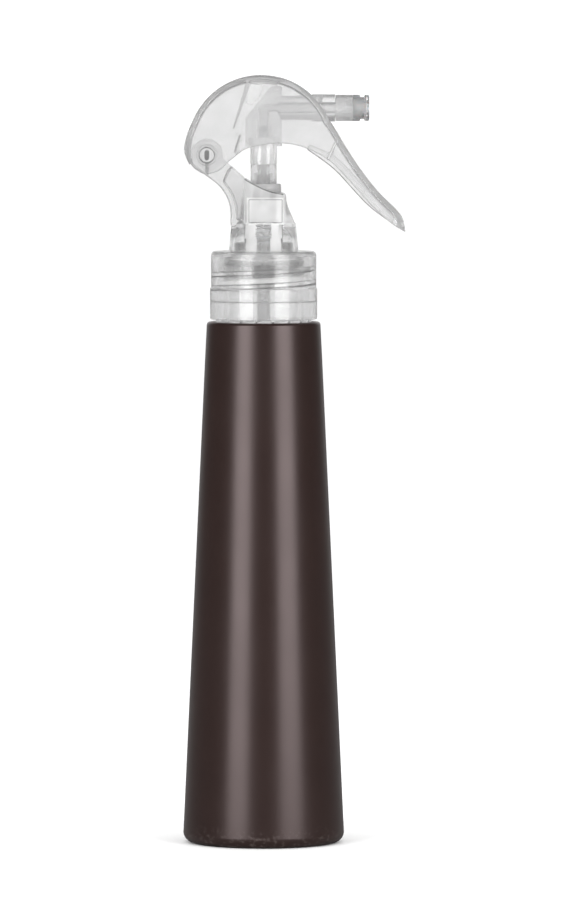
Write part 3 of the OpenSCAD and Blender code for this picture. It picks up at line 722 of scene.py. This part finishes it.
def lever_ribs():
    """The pressing pad under the dome, the ribs across the hollow and the one along the tail."""
    pad_r = DOME_R - LEVER_WEB
    pad = arc(DOME, pad_r + 0.3, 99.5, 75.5, 12) + arc(DOME, pad_r - 1.0, 75.5, 99.5, 12)
    rear = [(-4.4, 53), (-4.4, 51.4), (-9.1, 38.1), (-9.6, 38.1), (-5.2, 53)]
    front = [(23.0, 34.4), (20.3, 28.2), (19.4, 28.6), (22.0, 33.8)]
    tail_low = [(40.0, 8.5), (33.2, 13.5), (28.2, 18.6), (23.4, 23.9), (19.4, 27.4), (13.4, 31.6)]
    tail_top = [(14.2, 33.2), (21.2, 30.4), (25.6, 26.6), (30.0, 21.6), (35.2, 16.2), (40.6, 10.6)]
    yield edged_rib(pad, LEVER_INSIDE - 0.1, 0.2, PAINTED_SHADE_RIM)
    yield edged_rib(rear, LEVER_INSIDE - 0.1, 0.15, PAINTED_SHADE_RING)
    yield edged_rib(front, LEVER_INSIDE - 0.1, 0.3, PAINTED_SHADE_RING)
    yield edged_rib(spline(tail_low, 4) + tail_top, 0.6, 0.3)


def lever():
    dome = arc(DOME, DOME_R, 159, 22, 60)
    outer = spline(EAR_BACK, 6)[:-1] + dome + spline(TAIL, 6)[1:]
    lower = spline(EAR_FRONT, 4)[:-1] + spline(UNDER, 5)
    edge_r = 1.9
    obj = lever_loft("lever_moulded", outer, lower, 0.0, edge_r, 0.35)
    paint(obj, *LEVER_PLASTIC_AND_PAINTED_LIGHT)
    # painted shade along the rounded edge
    mark(obj, PAINTED_SHADE_RIM, lambda middle, normal: abs(normal.y) < 0.96 and abs(middle.y) > LEVER_W - edge_r)
    combine(obj, lever_cavity(outer), "DIFFERENCE")
    for rib in lever_ribs():
        combine(obj, rib, "UNION")
    # low ridges in the hollow, then a wedge-shaped lead-in to each bore with a step under the bore
    low_ridge = [(-7.6, 36.2), (-7.0, 36.2), (-8.7, 31.0), (-9.3, 30.6)]
    gusset = [(-3.7, 51.9), (-0.3, 51.7), (-1.3, 48.4), (-3.4, 45.9), (-5.2, 45.9), (-4.9, 48.0)]
    wedge = [(-2.0, 1.5), (0, 2.4), (0.8, 2.3), (0.8, -7), (-7, -5.2)]
    step = [(-0.5, 0), (0.6, 0), (0.6, -7), (-0.5, -7)]
    for sign in (-1, 1):
        wall = sign * LEVER_INSIDE
        # the low ridges are painted shade and the gussets painted light
        for outline, finish in ((low_ridge, PAINTED_SHADE_LINE), (gusset, PAINTED_LIGHT_PATCH)):
            combine(obj, lever_rib(outline, 0.35, wall, finish), "UNION")
        # the step's cut faces are painted shade
        for outline, depth, finish in ((wedge, 0.6, CLEAR_SHELL), (step, 0.8, PAINTED_SHADE_LINE)):
            outline = [(PIVOT_X + x, PIVOT_UP + z) for x, z in outline]
            combine(obj, lever_rib(outline, depth, wall, finish), "DIFFERENCE")
    # slot for the spout, and the bores for the trunnions
    slot_w, slot_z, bore_r = 4.7, 39.55, 2.55
    slot = [(5.2, slot_z), (23.4, slot_z), (23.4, slot_z + 20), (5.2, slot_z + 20)]
    combine(obj, lever_rib(slot, slot_w), "DIFFERENCE")
    combine(obj, rod("bore", bore_r, (PIVOT_X, -10, PIVOT.z), (PIVOT_X, 10, PIVOT.z)), "DIFFERENCE")
    obj = finished_again(obj)
    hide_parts("trigger_lever")
    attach(obj, "trigger")


# ---- pump body -----------------------------------------------------------------------------

BODY_PLASTIC_AND_PAINTED_LIGHT = (CLEAR_ARM, CLEAR_TOWER, CLEAR_SKIRT, WINDOW_AND_PAINTED_LIGHT_BAND, PAINTED_LIGHT_PATCH, PAINTED_SHADE_RING, PAINTED_SHADE_LINE)
SKIRT_H = 8.6
BARREL_R = 6.1
ARM_BEND = (-23.46, 11.29)  # centre of the arm's curved back
ARM_BEND_R = 13.25
ARM_W = 5.45  # half widths
TOWER_W = 8.0


def block(name, outline, half_width, round_r, middle=0.0):
    """An outline in the XZ plane, above the deck, as a plate with rounded edges."""
    obj = prism(name, raised(outline), half_width, middle)
    if round_r:
        soften(obj, round_r, 3)
        apply_modifiers(obj)
    return obj


def hinge_rod(radius, half_width, chamfer, rim):
    """A rod along the hinge, with chamfered ends in the material rim, a painted shade that shows as a ring.
    """
    obj = rod("hinge rod", radius, (PIVOT_X, -half_width, PIVOT.z), (PIVOT_X, half_width, PIVOT.z), 96)
    soften(obj, chamfer, 1)
    apply_modifiers(obj)
    paint(obj, *BODY_PLASTIC_AND_PAINTED_LIGHT)
    mark(obj, rim, lambda middle, normal: 0.3 < abs(normal.y) < 0.9)
    return obj


def cut_block(outline, half_width, round_r, middle, floor, sides):
    """A block to cut with, that leaves the material floor on faces across Y and sides on all others, mostly
    painted light and shade.
    """
    obj = block("cut", outline, half_width, round_r, middle)
    paint(obj, *BODY_PLASTIC_AND_PAINTED_LIGHT)
    mark(obj, floor, lambda middle, normal: True)
    mark(obj, sides, lambda middle, normal: abs(normal.y) < 0.97)
    return obj


def body_skirt():
    """The skirt with its sleeve in the closure's hole, and two painted light bands on each side."""
    sleeve = 9.25
    painted_band_start, painted_band_end = 2.3, 5.6
    outside = [(9.2, SKIRT_H + 1), (10.0, SKIRT_H, 0.4), (10.4, 4.2, 2)]
    outside += [(10.65, 1.4, 0.8), (10.65, 0.15, 0.25)]
    plug = [(10.2, 0.15), (10.2, -1.5), (sleeve, -1.5)]
    inside = [(sleeve, 2.9), (sleeve - 0.35, 3.2), (sleeve - 0.55, SKIRT_H - 1.4)]
    roof = [(BARREL_R, SKIRT_H - 1.4), (BARREL_R, SKIRT_H + 1)]
    profile = raised(rounded(roof + outside + plug + inside))
    obj = revolve("pump_body_moulded", profile, 128)
    paint(obj, *BODY_PLASTIC_AND_PAINTED_LIGHT)
    mark(obj, CLEAR_SKIRT, lambda middle, normal: True)
    # painted light: brighter bands on the skirt
    mark(obj, WINDOW_AND_PAINTED_LIGHT_BAND, lambda middle, normal: (
        painted_band_start < abs(middle.x) < painted_band_end and middle.xy.length > 9.4))
    return obj


def body_tower():
    """The tower, cut to the skirt's round."""
    front = spline([(7.1, 15.4), (7.8, 13.1), (9.0, 10.4), (9.7, SKIRT_H)], 4)
    top = spline([(-5.9, 22.8), (-2.4, 20.8), (1.9, 18.9), (6.0, 18.0), (6.9, 17.3), (7.1, 15.4)], 4)
    outline = [(-6.2, SKIRT_H - 1.2), (-6.2, 17.3)] + top[:-1] + front + [(9.7, SKIRT_H - 1.2)]
    tower = block("tower", outline, TOWER_W, 0.6)
    paint(tower, *BODY_PLASTIC_AND_PAINTED_LIGHT)
    mark(tower, CLEAR_TOWER, lambda middle, normal: True)
    # painted shade line along the tower's upper side edges
    mark(tower, PAINTED_SHADE_LINE, lambda middle, normal: 0.3 < abs(normal.y) < 0.97 and normal.z > 0.1)
    outside = rod("round", 10.0, (0, 0, DECK + 6), (0, 0, DECK + 30), 128)
    paint(outside, *BODY_PLASTIC_AND_PAINTED_LIGHT)
    mark(outside, CLEAR_TOWER, lambda middle, normal: True)
    combine(tower, outside, "INTERSECT")
    return tower


def body_arm():
    """The curved arm that carries the hinge."""
    back = arc(ARM_BEND, ARM_BEND_R, -6, 57, 16)
    outline = [(-6, SKIRT_H - 1), (-10.2, SKIRT_H - 1)] + back + [(-18.3, 23.9), (-20.9, 26.1)]
    outline += [(PIVOT_X, PIVOT_UP), (-13.6, 29.6), (-11.2, 27.4), (-5.9, 22.8)]
    return block("arm", outline, ARM_W, 0.7)


def body_cuts():
    """The arm's hollow, then on each side the window with its border, a groove and the trunnion's slot."""
    hollow = [(-6.8, SKIRT_H + 1), (-8.6, SKIRT_H + 1)] + arc(ARM_BEND, ARM_BEND_R + 1.5, 0, 44, 10)
    hollow += [(-11.4, 25.0), (-9.4, 27.5), (-5, 24)]
    yield cut_block(hollow, 4.25, 1.0, 0.0, CLEAR_TOWER, CLEAR_ARM)
    left, right, low, high = -4.7, 5.9, SKIRT_H + 0.3, SKIRT_H + 7.7
    window = [(left, low), (right, low), (right, high), (left, high)]
    left, right, low, high = left - 0.5, right + 0.5, low - 0.5, high + 0.5
    border = [(left, low), (right, low), (right, high), (left, high)]
    groove = [(-8.1, 19.6), (-7.1, 19.6), (-7.5, 9.8), (-7.8, 9.8)]
    slot_r, slot_reach = 0.7, 0.85
    slot = arc((PIVOT_X, PIVOT_UP + slot_reach), slot_r, 0, 180, 12)
    slot += arc((PIVOT_X, PIVOT_UP - slot_reach), slot_r, 180, 360, 12)
    for sign in (-1, 1):
        # painted light on the border; painted shade on the window's sides, the groove's sides and the slot
        yield cut_block(border, 0.5, 0, sign * (TOWER_W + 0.35), PAINTED_LIGHT_PATCH, PAINTED_LIGHT_PATCH)
        yield cut_block(window, 1.0, 0.3, sign * (TOWER_W + 0.3), WINDOW_AND_PAINTED_LIGHT_BAND, PAINTED_SHADE_RING)
        yield cut_block(groove, 0.5, 0, sign * ARM_W, CLEAR_ARM, PAINTED_SHADE_LINE)
        yield cut_block(slot, 1.6, 0, sign * (LEVER_W - 0.75), PAINTED_SHADE_LINE, PAINTED_SHADE_LINE)


def pump_body():
    obj = body_skirt()
    combine(obj, body_tower(), "UNION")
    combine(obj, body_arm(), "UNION")
    # hub, bosses inside the lever, and trunnions, with painted shade rings on their chamfered ends
    combine(obj, hinge_rod(5.0, ARM_W, 0.15, PAINTED_SHADE_RING), "UNION")
    combine(obj, hinge_rod(3.3, LEVER_INSIDE - 0.3, 0.3, PAINTED_SHADE_RING), "UNION")
    combine(obj, hinge_rod(2.5, LEVER_W - 0.15, 0.25, PAINTED_SHADE_LINE), "UNION")
    combine(obj, rod("bore", BARREL_R, (0, 0, DECK - 2), (0, 0, DECK + 28), 128), "DIFFERENCE")
    for cut in body_cuts():
        combine(obj, cut, "DIFFERENCE")
    obj = finished_again(obj)
    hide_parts("pump_body")
    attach(obj, "pump")


# ---- springs and CAD nodes that stay -------------------------------------------------------


def keep(node_name, *materials, width=0.0):
    """Gives a CAD node its materials, smooth shading and, with a width, small rounds on its edges."""
    obj = frame["nodes"][node_name]
    paint(obj, *materials)
    weld = obj.modifiers.new("weld", "WELD")
    weld.merge_threshold = WELD_REACH
    if width:
        soften(obj, width)
    else:
        for face in obj.data.polygons:
            face.use_smooth = True
        obj.data.set_sharp_from_angle(angle=math.radians(SHARP))
    return obj


def spring(node_name, body, radius, wire, turns):
    """A coil with closed ends in a CAD spring's place."""
    low, high = corner(node_name, 0).z, corner(node_name, 1).z
    closed, per_turn, facets = 0.9, 40, 12
    free = (high - low - 2 * wire - 4 * closed * wire) / (turns - 2 * closed)
    count = round(turns * per_turn)
    verts, faces = [], []
    for i in range(count + 1):
        t = i / per_turn
        rise = 2 * wire * (min(t, closed) + max(0.0, t - turns + closed))
        rise += free * max(0.0, min(t, turns - closed) - closed)
        a = 2 * math.pi * t
        for k in range(facets):
            b = 2 * math.pi * k / facets
            r = radius + wire * math.cos(b)
            verts.append((r * math.cos(a), r * math.sin(a), low + wire + rise + wire * math.sin(b)))
    for i in range(count):
        for k in range(facets):
            a, b = i * facets + k, i * facets + (k + 1) % facets
            faces.append([a, a + facets, b + facets, b])
    faces += [list(range(facets)), list(range(len(verts) - 1, len(verts) - facets - 1, -1))]
    obj = piece(node_name + "_coil", verts, faces)
    paint(obj, STEEL)
    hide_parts(node_name)
    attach(obj, body)
    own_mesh(obj)


bottle()
closure()
lever()
pump_body()
spring("return_spring", "pump", radius=3.5, wire=0.35, turns=6.5)
spring("outlet_spring", "plunger", radius=1.25, wire=0.15, turns=4)
for name, material in {
    "neck_gasket": GASKET, "pump_cylinder": CLEAR_PUMP, "cylinder_collar": CLEAR_COLLAR, "stem_seal": SEAL,
    "piston_seal": SEAL, "ball_cage": NATURAL, "inlet_ball": STEEL, "dip_tube": TUBE,
    "outlet_ball": STEEL, "orifice_insert": GREY, "swirl_core": NATURAL,
}.items():
    keep(name, material)
keep("nozzle_cap", CLEAR_NOZZLE, width=0.15)
SPOUT_START_X = 14.5
SOCKET_TOP_Z = DECK + 32.6
elbow = keep("spray_elbow", CLEAR_HEAD, CLEAR_SPOUT, CLEAR_NOZZLE, width=0.25)
mark(elbow, CLEAR_SPOUT, lambda middle, normal: middle.x > SPOUT_START_X)
mark(elbow, CLEAR_NOZZLE, lambda middle, normal: middle.z < SOCKET_TOP_Z)
stem = keep("piston_stem", CLEAR_PUMP, CLEAR_STEM)
ELBOW_FOOT_Z = corner("spray_elbow", 0).z
mark(stem, CLEAR_STEM, lambda middle, normal: middle.z < ELBOW_FOOT_Z)

# ---- floor, light and camera ---------------------------------------------------------------


def pale_floor():
    """Nearly white, but dim in the object's reflections and to light that bends steeply down to it."""
    tree = material_tree("pale floor")
    plain = tree.blend(tree.noise(3, 2), grey(0.93), grey(0.95))
    path = tree.add("ShaderNodeLightPath").outputs
    reflected = tree.ramp(mirrored(tree, path), 0, 1)
    seen_from = tree.add("ShaderNodeNewGeometry").outputs["Incoming"]
    steep = tree.ramp(tree.add("ShaderNodeSeparateXYZ", Vector=seen_from).outputs["Z"], 0.5, 0.75)
    bent = tree.math("MULTIPLY", steep, path["Is Transmission Ray"])
    base = tree.blend(bent, tree.blend(reflected, plain, grey(0.2)), grey(0.1))
    shader = tree.add("ShaderNodeBsdfPrincipled", Base_Color=base, Roughness=0.6, Specular_IOR_Level=0.2)
    return tree.done(shader.outputs[0])


def mirrored(tree, path):
    """1 for a ray that comes from a shiny surface, else 0 or less."""
    return tree.math("SUBTRACT", path["Is Reflection Ray"], path["Is Diffuse Ray"])


def stage():
    radius, corners = 14.0, 60
    mesh = bpy.data.meshes.new("floor")
    ring = arc((0, 0), radius, 0, 360, corners)[:-1]
    mesh.from_pydata([(x, y, 0) for x, y in ring], [], [list(range(corners))])
    floor = bpy.data.objects.new("floor", mesh)
    bpy.context.scene.collection.objects.link(floor)
    paint(floor, pale_floor())


def sky():
    """White behind the object and in daylight on it, dim in reflections, and for light that bends
    through clear parts a ring of white strips with grey between them and a grey ceiling."""
    world = bpy.data.worlds.new("studio")
    bpy.context.scene.world = world
    tree = Tree(world, "Generated")
    path = tree.add("ShaderNodeLightPath").outputs
    split = tree.add("ShaderNodeSeparateXYZ", Vector=tree.place).outputs
    azimuth = tree.math("ARCTAN2", split["Y"], split["X"])
    strip_count = 8.0
    strip = tree.ramp(tree.math("COSINE", tree.math("MULTIPLY", azimuth, strip_count)), -0.8, 0.95)
    ring = tree.ramp(strip, 0.0, 1.0, 0.66, 1.14)
    below_ceiling = tree.ramp(split["Z"], 0.25, 0.5, 1.0, 0.0)
    bent = tree.ramp(below_ceiling, 0.0, 1.0, 0.12, ring)
    backdrop = tree.ramp(split["Y"], 0.7, 0.97, 0.07, 1.0)
    daylight = 1.2
    direct = tree.ramp(path["Is Transmission Ray"], 0.0, 1.0, daylight, bent)
    level = tree.ramp(mirrored(tree, path), 0.0, 1.0, direct, backdrop)
    background = tree.add("ShaderNodeBackground", Color=(1, 1, 1, 1), Strength=level)
    tree.add("ShaderNodeOutputWorld", Surface=background.outputs[0])


def softbox(name, azimuth, elevation, distance, width, height, radiance):
    """A rectangle of light turned to the object. Azimuth 0 is in front of it, on its -Y side."""
    light = bpy.data.lights.new(name, "AREA")
    light.shape = "RECTANGLE"
    light.size, light.size_y = width, height
    light.energy = radiance * math.pi * width * height
    obj = bpy.data.objects.new(name, light)
    bpy.context.scene.collection.objects.link(obj)
    a, e = math.radians(azimuth), math.radians(elevation)
    away = Vector((math.sin(a) * math.cos(e), -math.cos(a) * math.cos(e), math.sin(e)))
    obj.location = Vector((0, 0, 0.12)) + away * distance
    obj.rotation_mode = "QUATERNION"
    obj.rotation_quaternion = away.to_track_quat("Z", "Y")
    obj.visible_camera = False
    obj.visible_transmission = False


def camera():
    """Metres and degrees. It looks at a point half way up, a little ahead of the bottle's axis."""
    distance, elevation = 2.6, 3.1
    middle_x, middle_z = 0.0054, 0.1223
    frame_height = 0.2801
    cam = bpy.data.cameras.new("camera")
    cam.sensor_width = 24
    cam.lens = cam.sensor_width * distance / frame_height
    obj = bpy.data.objects.new("camera", cam)
    bpy.context.scene.collection.objects.link(obj)
    e = math.radians(elevation)
    back = Vector((0, -math.cos(e), math.sin(e)))
    obj.location = Vector((middle_x, 0, middle_z)) + back * distance
    obj.rotation_euler = back.to_track_quat("Z", "Y").to_euler()
    cam.clip_start, cam.clip_end = 0.05, 60
    bpy.context.scene.camera = obj


stage()
sky()
softbox("left softbox", -38, 2, 1.5, 0.8, 1.8, 6.3)
softbox("right softbox", 41, 2, 1.5, 0.86, 1.8, 5.8)
camera()

scene = bpy.context.scene
scene.view_settings.view_transform = "Standard"
scene.cycles.max_bounces = 24
scene.cycles.transmission_bounces = 20
scene.cycles.transparent_max_bounces = 24
scene.cycles.diffuse_bounces = 3
scene.cycles.glossy_bounces = 8
scene.cycles.caustics_reflective = False
scene.cycles.caustics_refractive = True
